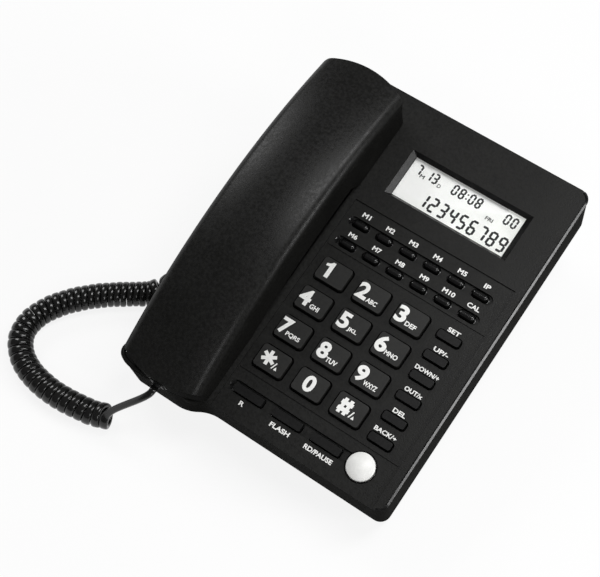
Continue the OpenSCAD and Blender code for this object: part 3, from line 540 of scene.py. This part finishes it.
def spring_line():
    """Points of the spring's wire on the face, each with the way out from its axis."""
    line = []
    count = SPRING_TURNS * SPRING_RINGS
    for k in range(count + 1):
        share = k / count
        rise = SPRING_EVEN * share + (1 - SPRING_EVEN) * share * share * (3 - 2 * share)
        turn = math.tau * k / SPRING_RINGS
        out = Vector((math.cos(turn), math.sin(turn), 0))
        height = SPRING_LOW + (SPRING_HIGH - SPRING_LOW) * rise
        line.append((Vector((*HOOK, height)) + SPRING_R * out, out))
    return line


wire = spring_line()
verts, faces = sweep_flat(wire, [SPRING_WIRE] * len(wire), SPRING_WIRE, sides=12, power=1)
spring = mesh_piece("wound_spring", [FACE @ v for v in verts], faces, "steel")
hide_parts("hook_spring")
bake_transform(spring)


# CAD solids: finish, softened edges and smooth shading

WELD_WITHIN = 0.00001
FLAT_FACE_WEIGHT = 80


def soften(obj, width, segments=3, limit=35):
    """Rounds the edges by width, in millimetres, and keeps the flat faces flat in their shading."""
    weld = obj.modifiers.new("weld", "WELD")
    weld.merge_threshold = WELD_WITHIN
    if width:
        bevel = obj.modifiers.new("bevel", "BEVEL")
        bevel.width = width * MM
        bevel.segments = segments
        bevel.limit_method = "ANGLE"
        bevel.angle_limit = math.radians(limit)
        bevel.use_clamp_overlap = True
        bevel.miter_outer = "MITER_ARC"
        normals = obj.modifiers.new("normals", "WEIGHTED_NORMAL")
        normals.mode = "FACE_AREA"
        normals.weight = FLAT_FACE_WEIGHT
    for poly in obj.data.polygons:
        poly.use_smooth = True


# Width of the rounded edges in millimetres, where it isn't the usual one
USUAL_EDGE = 0.15
EDGE = {
    "base_top_shell": 0.35, "base_bottom_shell": 0.4, "handset_back_shell": 0.3, "handset_face_shell": 0.4,
    "rubber_feet": 0.6, "lcd_lens": 0.1, "lcd_panel": 0.1, "hook_plunger": 0.4, "handsfree_button": 0.4,
    "line_jack": 0.2, "base_handset_jack": 0.2, "handset_jack": 0.2, "base_plug": 0.4, "handset_plug": 0.4,
}
for keys, width in ((DIAL, 0.6), (FUNCTION, 0.9), (ROW, 0.8)):
    for key in keys:
        EDGE["key_" + key] = width
for name, obj in nodes.items():
    if name in ("curly_cord", "hook_spring"):
        continue
    give(obj, SLOT_OF[name])
    soften(obj, EDGE.get(name, USUAL_EDGE))


# Printed letters and figures

# Half the depth of the words before they are put on the face
WORD_DEPTH = 0.004
# Thickness of the ink, and the level of the printing on the dial keys and the keypad's panel
INK_T = 0.04
DIAL_TOP = 1.62
PANEL = -0.78
# u and v run as a and b do, from the middle of key 1, which lies at -U0 and -V0
U0 = 11.0
V0 = 8.3


def outline_text(text, bold):
    """Thin mesh of a word in the built-in typeface, made bolder by a share of its type size."""
    curve = bpy.data.curves.new("word", "FONT")
    curve.body = text
    curve.size = 1.0
    curve.extrude = WORD_DEPTH
    curve.bevel_depth = bold
    curve.bevel_resolution = 1
    curve.resolution_u = 5
    obj = link("word", curve)
    mesh = bpy.data.meshes.new_from_object(obj.evaluated_get(bpy.context.evaluated_depsgraph_get()))
    bpy.data.objects.remove(obj)
    bpy.data.curves.remove(curve)
    return mesh


def lettering(name, text, left, right, low, high, w, body, slot="ink", bold=0.03):
    """Puts a word on the face so that it fills the given box, in millimetres."""
    mesh = outline_text(text, bold)
    xs, ys, zs = zip(*(v.co for v in mesh.vertices))
    x0, x1, y0, y1, z0, z1 = min(xs), max(xs), min(ys), max(ys), min(zs), max(zs)
    for v in mesh.vertices:
        a = left + (v.co.x - x0) / (x1 - x0) * (right - left)
        b = low + (v.co.y - y0) / (y1 - y0) * (high - low)
        v.co = on_face(a, b, w + (v.co.z - z0) / (z1 - z0) * INK_T)
    mesh.name = name
    obj = link(name, mesh)
    give(obj, slot)
    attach(obj, body)
    return obj


def label(name, text, u0, u1, v0, v1, w, body, bold=0.032):
    return lettering(name, text, u0 - U0, u1 - U0, v0 - V0, v1 - V0, w, body, bold=bold)


# Key, text, and its left, right, low and high edge
FIGURES = [
    ("2", "2", 15.1, 21.5, -4.2, 5.0), ("3", "3", 38.7, 44.8, -4.3, 5.0),
    ("4", "4", -8.2, -1.5, -22.7, -13.6), ("5", "5", 15.8, 21.9, -22.7, -13.6),
    ("6", "6", 38.5, 45.0, -22.8, -13.6), ("7", "7", -7.9, -1.5, -41.4, -32.4),
    ("8", "8", 15.8, 22.1, -41.5, -32.4), ("9", "9", 38.7, 45.2, -41.5, -32.4),
    ("0", "0", 19.6, 25.8, -60.2, -51.2),
]
for key, text, u0, u1, v0, v1 in FIGURES:
    label("figure_" + key, text, u0, u1, v0, v1, DIAL_TOP, key + "_key", bold=0.04)


def inked(name, points, faces, w, body):
    """A printed shape of flat faces, its points given on the face in millimetres."""
    obj = mesh_piece(name, [on_face(u - U0, v - V0, w) for u, v in points], faces, "ink", False)
    thick = obj.modifiers.new("ink", "SOLIDIFY")
    thick.thickness = INK_T * MM
    thick.offset = 1
    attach(obj, body)
    return obj


def stroke(name, points, w, body):
    return inked(name, points, [tuple(range(len(points)))], w, body)


def in_box(points, u0, u1, v0, v1):
    return [(u0 + x * (u1 - u0), v0 + y * (v1 - v0)) for x, y in points]


ONE = [(0.48, 0), (1, 0), (1, 1), (0.66, 1), (0.5, 0.9), (0.26, 0.83), (0, 0.8), (0, 0.645), (0.48, 0.68)]
stroke("figure_1", in_box(ONE, -5.9, -1.5, -4.2, 5.0), DIAL_TOP, "1_key")


def star(u, v, reach, half):
    """Six straight arms round a middle point."""
    points = []
    for k in range(6):
        way = math.radians(30 + 60 * k)
        gap = way + math.radians(30)
        for side in (-half, half):
            points.append((u + reach * math.cos(way) - side * math.sin(way),
                           v + reach * math.sin(way) + side * math.cos(way)))
        points.append((u + 2 * half * math.cos(gap), v + 2 * half * math.sin(gap)))
    return points


stroke("figure_star", star(u=-2.3, v=-55.4, reach=4.1, half=0.95), DIAL_TOP, "star_key")
HASH_X = [0, 0.1, 0.4, 0.58, 0.88, 1]
HASH_Y = [0, 0.16, 0.42, 0.58, 0.84, 1]
HASH_LEAN = 0.1
hash_grid = [((1 - HASH_LEAN) * x + HASH_LEAN * y, y) for y in HASH_Y for x in HASH_X]
hash_points = in_box(hash_grid, u0=40.8, u1=48.1, v0=-60.0, v1=-51.4)
hash_faces = [(6 * r + c, 6 * r + c + 1, 6 * r + c + 7, 6 * r + c + 6)
              for r in range(5) for c in range(5) if r in (1, 3) or c in (1, 3)]
inked("figure_hash", hash_points, hash_faces, DIAL_TOP, "hash_key")
for key, u in (("star", 1.3), ("hash", 48.2)):
    slash = [(u, -59.6), (u + 0.7, -59.6), (u + 2.1, -55.8), (u + 1.4, -55.8)]
    mark = [(u + 1.6, -59.6), (u + 3.4, -59.6), (u + 2.5, -57.7)]
    stroke("slash_" + key, slash, DIAL_TOP, key + "_key")
    stroke("mark_" + key, mark, DIAL_TOP, key + "_key")
LETTERS = [
    ("2", "ABC", 22.1, 28.2, -4.1, -1.5), ("3", "DEF", 45.6, 52.0, -4.1, -1.5),
    ("4", "GHI", -0.5, 4.8, -22.5, -19.8), ("5", "JKL", 22.5, 28.1, -22.5, -19.8),
    ("6", "MNO", 45.3, 52.7, -22.5, -19.8), ("7", "PQRS", -2.6, 5.6, -41.4, -38.6),
    ("8", "TUV", 22.2, 28.7, -41.6, -38.9), ("9", "WXYZ", 45.0, 52.8, -41.6, -38.9),
]
for key, text, u0, u1, v0, v1 in LETTERS:
    label("letters_" + key, text, u0, u1, v0, v1, DIAL_TOP, key + "_key")
# Text, and its left and right edge, first the upper and then the lower line
MEMORY_LABELS = [
    ("M1", -5.9, -1.1), ("M2", 8.8, 13.7), ("M3", 23.1, 28.1), ("M4", 37.9, 42.9), ("M5", 52.7, 57.8),
    ("IP", 68.3, 71.9), ("M6", -6.1, -1.1), ("M7", 8.7, 13.7), ("M8", 23.0, 28.1), ("M9", 37.8, 42.9),
    ("M10", 51.5, 58.7), ("CAL", 66.3, 73.5),
]
UPPER_V = 35.1
LOWER_V = 22.1
MEMORY_H = 2.7
for i, (text, u0, u1) in enumerate(MEMORY_LABELS):
    v = UPPER_V if i < 6 else LOWER_V
    label("label_" + text, text, u0, u1, v, v + MEMORY_H, PANEL, "base")
# Text, and its left, right and low edge
FUNCTION_LABELS = [
    ("SET", 65.2, 72.3, 5.6), ("UP", 64.6, 73.1, -6.9), ("DOWN", 61.8, 75.6, -19.6),
    ("OUT", 63.5, 73.8, -32.1), ("DEL", 64.8, 72.1, -44.7), ("BACK", 61.9, 74.6, -57.1),
]
FUNCTION_H = 2.5
SIGNS = {"UP": "/-", "DOWN": "/+", "OUT": "/x", "BACK": "/÷"}
for text, u0, u1, v in FUNCTION_LABELS:
    label("label_" + text, text + SIGNS.get(text, ""), u0, u1, v, v + FUNCTION_H, PANEL, "base")
# Name, text, and its left, right and low edge
ROW_LABELS = [
    ("R", "R", -2.2, 0.5, -83.8), ("FLASH", "FLASH", 17.0, 28.6, -84.2),
    ("RD", "RD/PAUSE", 37.7, 54.4, -84.2),
]
ROW_H = 2.6
for name, text, u0, u1, v in ROW_LABELS:
    label("label_" + name, text, u0, u1, v, v + ROW_H, PANEL, "base")


# Figures on the display, each a set of bars with small gaps

BARS = {
    "0": "abcdef", "1": "bc", "2": "abged", "3": "abgcd", "4": "fgbc", "5": "afgcd", "6": "afgedc",
    "7": "abc", "8": "abcdefg", "9": "abcdfg",
}
# The level of the display, and the large and small figures: low edge, width, height and half a bar's width
LCD_W = -4.66
LARGE = dict(v=56.9, width=4.6, height=9.0, half=0.66)
SMALL = dict(v=71.7, width=3.3, height=6.5, half=0.52)
LARGE_AT = 13.1
LARGE_PITCH = 5.98
LEAN = 0.035
# The gap at a bar's ends and the length of its points, as shares of half its width
BAR_GAP = 0.12
BAR_TIP = 0.6
# The small figures with their left edges, the colon's dots, and the words with their four edges
SMALL_FIGURES = (
    ("7", 2.5), ("1", 9.0), ("3", 12.7), ("0", 24.9), ("8", 29.2), ("0", 35.2), ("8", 39.4), ("0", 56.8),
    ("0", 61.1),
)
COLON_U = (33.4, 34.6)
COLON_V = (73.6, 76.2)
COLON_HALF = 0.46
DISPLAY_WORDS = (
    ("M", 6.3, 8.9, 71.3, 73.5), ("D", 17.1, 19.0, 71.2, 73.4), ("FRI", 48.2, 52.6, 69.0, 71.1),
)
lcd_verts, lcd_faces = [], []


def bar(p, q, half):
    """A bar with pointed ends, drawn on the display from p to q."""
    p, q = Vector(p), Vector(q)
    way = (q - p).normalized()
    side = Vector((-way.y, way.x)) * half
    gap = way * (half * BAR_GAP)
    tip = way * (half * BAR_TIP)
    p, q = p + gap, q - gap
    ring = [p, p + tip + side, q - tip + side, q, q - tip - side, p + tip - side]
    start = len(lcd_verts)
    for c in ring:
        lcd_verts.append(on_face(c.x - U0, c.y - V0, LCD_W))
    lcd_faces.append(tuple(range(start, start + len(ring))))


def figure(char, u, v, width, height, half):
    lean = LEAN * height
    x0, x1, m = u + half, u + width - half, v + height / 2

    def at(x, y):
        return (x + lean * (y - v) / height, y)

    lo, hi = v + half, v + height - half
    ends = {
        "a": (at(x0, hi), at(x1, hi)), "b": (at(x1, m), at(x1, hi)), "c": (at(x1, lo), at(x1, m)),
        "d": (at(x0, lo), at(x1, lo)), "e": (at(x0, lo), at(x0, m)), "f": (at(x0, m), at(x0, hi)),
        "g": (at(x0, m), at(x1, m)),
    }
    for s in BARS[char]:
        bar(*ends[s], half)


for i, char in enumerate("123456789"):
    figure(char, LARGE_AT + LARGE_PITCH * i, **LARGE)
for char, u in SMALL_FIGURES:
    figure(char, u, **SMALL)
for v in COLON_V:
    bar((COLON_U[0], v), (COLON_U[1], v), COLON_HALF)
segments = mesh_piece("display_segments", lcd_verts, lcd_faces, "segment", False)
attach(segments, "base")
for text, u0, u1, v0, v1 in DISPLAY_WORDS:
    lettering("display_" + text, text, u0 - U0, u1 - U0, v0 - V0, v1 - V0, LCD_W, "base", "segment",
              bold=0.02)


# Trim: the window's frame, the ends of the slots, the right edge, painted shade round the key openings, and
# the cradle's lip

# The middle of the window, and half the width, half the height and the level of its frame's two edges
WINDOW = (22.35, 59.0)
WINDOW_EDGES = ((36.8, 14.3, 0.0), (33.9, 12.7, -2.4))
# How far linings lie off the casing, the keypad's level, the slots' floor and the room round the keys
LINER = 0.03
PANEL_W = -0.8
SLOT_FLOOR = -2.2
KEY_GAP = 0.6
# The casing's right corners, and the rim along them: its section, and its turns at a corner
CORNER_A = 72
CORNER_B = 93.5
CORNER_R = 6
RIM_SECTION = [(-1.2, 0.0), (-0.6, 0.5), (0.4, -0.3), (0.1, -0.8)]
RIM_TURNS = [math.radians(10 * k) for k in range(8)]


def liner(name, verts, faces, slot="gloss_trim", body="base", smooth=False):
    """A thin lining on the face, its points given as a, b, w in millimetres."""
    obj = mesh_piece(name, [on_face(*v) for v in verts], faces, slot, smooth)
    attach(obj, body)
    return obj


def window_frame():
    verts = []
    for half_w, half_h, w in WINDOW_EDGES:
        for sx, sy in ((-1, -1), (1, -1), (1, 1), (-1, 1)):
            verts.append((WINDOW[0] + sx * half_w, WINDOW[1] + sy * half_h, w + LINER))
    faces = [(k, (k + 1) % 4, 4 + (k + 1) % 4, 4 + k) for k in range(4)]
    return liner("window_frame", verts, faces, "frame_gloss")


def slot_end(name, a, b, radius, run, spread=55, steps=10):
    """The ramp at the left end of a slot, from the keypad's level to the slot's floor."""
    verts, faces = [], []
    for k in range(steps + 1):
        t = math.radians(180 - spread + 2 * spread * k / steps)
        for r, w in ((radius, PANEL_W), (radius - run, SLOT_FLOOR)):
            verts.append((a + r * math.cos(t), b + r * math.sin(t), w + LINER))
    for k in range(steps):
        faces.append((2 * k, 2 * k + 1, 2 * k + 3, 2 * k + 2))
    return liner(name, verts, faces, smooth=True)


def right_rim():
    """A low bevelled rim along the right edge and round its corners."""
    stops = [(-1, turn) for turn in reversed(RIM_TURNS)] + [(1, turn) for turn in RIM_TURNS]
    verts, faces = [], []
    for end, turn in stops:
        for d, w in RIM_SECTION:
            a = CORNER_A + (CORNER_R + d) * math.cos(turn)
            b = end * (CORNER_B + (CORNER_R + d) * math.sin(turn))
            verts.append((a, b, w))
    n = len(RIM_SECTION)
    for i in range(len(stops) - 1):
        for j in range(n - 1):
            faces.append((n * i + j, n * i + j + 1, n * (i + 1) + j + 1, n * (i + 1) + j))
    return liner("right_rim", verts, faces)


def tube(name, line, radius, slot, body, sides=12):
    """A round bead along points on the face."""
    verts = []
    n = len(line)
    for i, p in enumerate(line):
        way = (line[min(i + 1, n - 1)] - line[max(i - 1, 0)]).normalized()
        side = way.cross(UP).normalized()
        for j in range(sides):
            t = math.tau * j / sides
            verts.append(p + radius * (math.cos(t) * side + math.sin(t) * UP))
    return liner(name, verts, skin(n, sides), slot, body, True)


def rounded_box(w, h, r, steps=5):
    """Corner points of a rounded rectangle round the origin."""
    points = []
    for k, (sx, sy) in enumerate(((1, 1), (-1, 1), (-1, -1), (1, -1))):
        for i in range(steps + 1):
            t = math.radians(90 * (k + i / steps))
            points.append((sx * (w / 2 - r) + r * math.cos(t), sy * (h / 2 - r) + r * math.sin(t)))
    return points


def painted_shade_ring(name, places, w, h, r, height, wide=0.45):
    """Painted shade: dark flat rings round the openings of one kind of key."""
    verts, faces = [], []
    inner = rounded_box(w + 2 * KEY_GAP, h + 2 * KEY_GAP, r + KEY_GAP)
    outer = rounded_box(w + 2 * (KEY_GAP + wide), h + 2 * (KEY_GAP + wide), r + KEY_GAP + wide)
    n = len(inner)
    for a, b in places:
        start = len(verts)
        verts += [(a + x, b + y, height + LINER) for x, y in inner + outer]
        for k in range(n):
            m = (k + 1) % n
            faces.append((start + k, start + m, start + n + m, start + n + k))
    return liner(name, verts, faces, "painted_shade_black")


# Middles of the keys
DIAL_PITCH = (23.4, 18.6)
FUNCTION_PITCH = 12.6
DIAL_AT = [(-U0 + DIAL_PITCH[0] * i, -V0 - DIAL_PITCH[1] * j) for j in range(4) for i in range(3)]
FUNCTION_AT = [(57.4, -6 - FUNCTION_PITCH * j) for j in range(6)]
DOME_AT = [(56.4, -85)]
# The lip at the cradle's front: its line, level and radius, and its steps from point to point
CRADLE_LIP = [
    (-76.8, -80), (-77.2, -85), (-77.9, -90), (-79.2, -95.5), (-80.1, -99.2), (-79.2, -101.8),
    (-76.6, -103.6), (-72.8, -104.8), (-67, -105.3), (-60, -105.0),
]
LIP_W = -0.7
LIP_R = 1.4
LIP_STEPS = 4
window_frame()
for name, b in (("slot_end_1", 22.2), ("slot_end_2", 9.4)):
    slot_end(name, a=-18.95, b=b, radius=2.85, run=1.6)
slot_end("slot_end_row", a=-19.6, b=-84.5, radius=3.3, run=1.6)
right_rim()
# Painted shade round the dial keys, the function keys and the hands-free dome
painted_shade_ring("dial_painted_shade_ring", DIAL_AT, w=16.8, h=12.6, r=1.6, height=PANEL_W)
painted_shade_ring("function_painted_shade_ring", FUNCTION_AT, w=12.8, h=4.3, r=1.2, height=PANEL_W, wide=0.3)
painted_shade_ring("dome_painted_shade_ring", DOME_AT, w=14.6, h=14.6, r=7.29, height=PANEL_W, wide=0.4)
lip = [Vector((*p, LIP_W)) for p in CRADLE_LIP]
lip_line = []
for i in range(len(lip) - 1):
    before, after = lip[max(i - 1, 0)], lip[min(i + 2, len(lip) - 1)]
    lip_line += [catmull(before, lip[i], lip[i + 1], after, k / LIP_STEPS) for k in range(LIP_STEPS)]
lip_line.append(lip[-1])
tube("cradle_lip", lip_line, LIP_R, "base_casing", "base")


# Spring contacts in the line jack, and painted shade in the cross slots of the casing screws

LINE_JACK = (45, 99.5, -18.5)
CONTACT_PITCH = 1.02
CONTACT_R = 0.22
CONTACT = [(-1.8, 3.3), (-4.5, 2.3), (-7, 0.6), (-9.5, -1.5), (-11.4, -2.1)]
for k in range(4):
    wire = [Vector(LINE_JACK) + Vector((CONTACT_PITCH * (k - 1.5), b, w)) for b, w in CONTACT]
    tube("line_contact_%d" % (k + 1), wire, CONTACT_R, "gold", "base", sides=8)


# A flat black cross on the casing's underside: painted shade where a screw's cross slot lies
def painted_cross_slot(name, a, b, w, reach, half):
    arms = [(half, half), (half, reach), (-half, reach), (-half, half), (-reach, half), (-reach, -half),
            (-half, -half), (-half, -reach), (half, -reach), (half, -half), (reach, -half), (reach, half)]
    return liner(name, [(a + x, b + y, w) for x, y in arms], [tuple(range(len(arms)))], "painted_shade_black")


SCREWS_AT = [(71.5, 92), (71.5, -91), (-70, 92), (-70, -91)]
SCREW_FACE = -30
for k, (a, b) in enumerate(SCREWS_AT):
    painted_cross_slot("painted_screw_slot_%d" % (k + 1), a, b, SCREW_FACE - LINER, reach=1.7, half=0.4)


# Floor, lights and world

FLOOR_WHITE = 0.9
# The share of plain white that the camera, gloss and glass see in place of the floor's own shade
FLOOR_GLOW = 0.86


def floor_material():
    mat = bpy.data.materials.new("floor")
    mat.use_nodes = True
    tree = mat.node_tree
    tree.nodes.clear()
    out = tree.nodes.new("ShaderNodeOutputMaterial")
    paper = tree.nodes.new("ShaderNodeBsdfDiffuse")
    paper.inputs["Color"].default_value = (*grey(FLOOR_WHITE), 1)
    glow = tree.nodes.new("ShaderNodeEmission")
    glow.inputs["Color"].default_value = (1, 1, 1, 1)
    glow.inputs["Strength"].default_value = 1.0
    path = tree.nodes.new("ShaderNodeLightPath")
    seen = None
    for ray in ("Is Camera Ray", "Is Glossy Ray", "Is Transmission Ray"):
        if seen is None:
            seen = path.outputs[ray]
            continue
        either = tree.nodes.new("ShaderNodeMath")
        either.operation = "MAXIMUM"
        tree.links.new(seen, either.inputs[0])
        tree.links.new(path.outputs[ray], either.inputs[1])
        seen = either.outputs[0]
    share = tree.nodes.new("ShaderNodeMath")
    share.operation = "MULTIPLY"
    share.inputs[1].default_value = FLOOR_GLOW
    tree.links.new(seen, share.inputs[0])
    mix = tree.nodes.new("ShaderNodeMixShader")
    tree.links.new(share.outputs[0], mix.inputs[0])
    tree.links.new(paper.outputs[0], mix.inputs[1])
    tree.links.new(glow.outputs[0], mix.inputs[2])
    tree.links.new(mix.outputs[0], out.inputs["Surface"])
    return mat


# A flat floor that rises far behind the object on every side
FLOOR_RINGS = [(2, 0), (4, 0), (6, 0), (7, 0.06), (7.7, 0.22), (8.1, 0.5), (8.3, 0.85), (8.4, 1.2)]
FLOOR_SIDES = 48
verts, faces = [(0, 0, 0)], []
for radius, height in FLOOR_RINGS:
    for k in range(FLOOR_SIDES):
        turn = math.tau * k / FLOOR_SIDES
        verts.append((radius * math.cos(turn), radius * math.sin(turn), height))
for k in range(FLOOR_SIDES):
    m = (k + 1) % FLOOR_SIDES
    faces.append((0, 1 + k, 1 + m))
    for ring in range(len(FLOOR_RINGS) - 1):
        low, high = 1 + FLOOR_SIDES * ring, 1 + FLOOR_SIDES * (ring + 1)
        faces.append((low + k, high + k, high + m, low + m))
floor_mesh = bpy.data.meshes.new("floor")
floor_mesh.from_pydata(verts, [], faces)
for poly in floor_mesh.polygons:
    poly.use_smooth = True
floor = link("floor", floor_mesh)
floor.data.materials.append(floor_material())


def softbox(name, place, target, size, power, size_y=None):
    data = bpy.data.lights.new(name, "AREA")
    data.energy = power
    data.size = size
    if size_y:
        data.shape = "RECTANGLE"
        data.size_y = size_y
    lamp = bpy.data.objects.new(name, data)
    lamp.location = place
    lamp.rotation_euler = (Vector(target) - Vector(place)).to_track_quat("-Z", "Y").to_euler()
    scene.collection.objects.link(lamp)
    return lamp


MIDDLE = (0, 0, 0.04)
WORLD_LIGHT = 0.12
softbox("top_strip", (0.3, 0.4, 1.25), MIDDLE, size=0.3, power=10, size_y=1.0)
softbox("right_box", (1.22, 0.27, 0.56), MIDDLE, size=0.5, power=8, size_y=0.28)
softbox("left_fill", (-0.9, 0.3, 0.8), MIDDLE, size=0.4, power=4)
softbox("front_fill", (0.6, -0.8, 0.9), MIDDLE, size=0.4, power=3)

world = bpy.data.worlds.new("world")
world.use_nodes = True
scene.world = world
sky = world.node_tree.nodes["Background"]
sky.inputs["Color"].default_value = (1, 1, 1, 1)
sky.inputs["Strength"].default_value = WORLD_LIGHT

scene.view_settings.view_transform = "Standard"
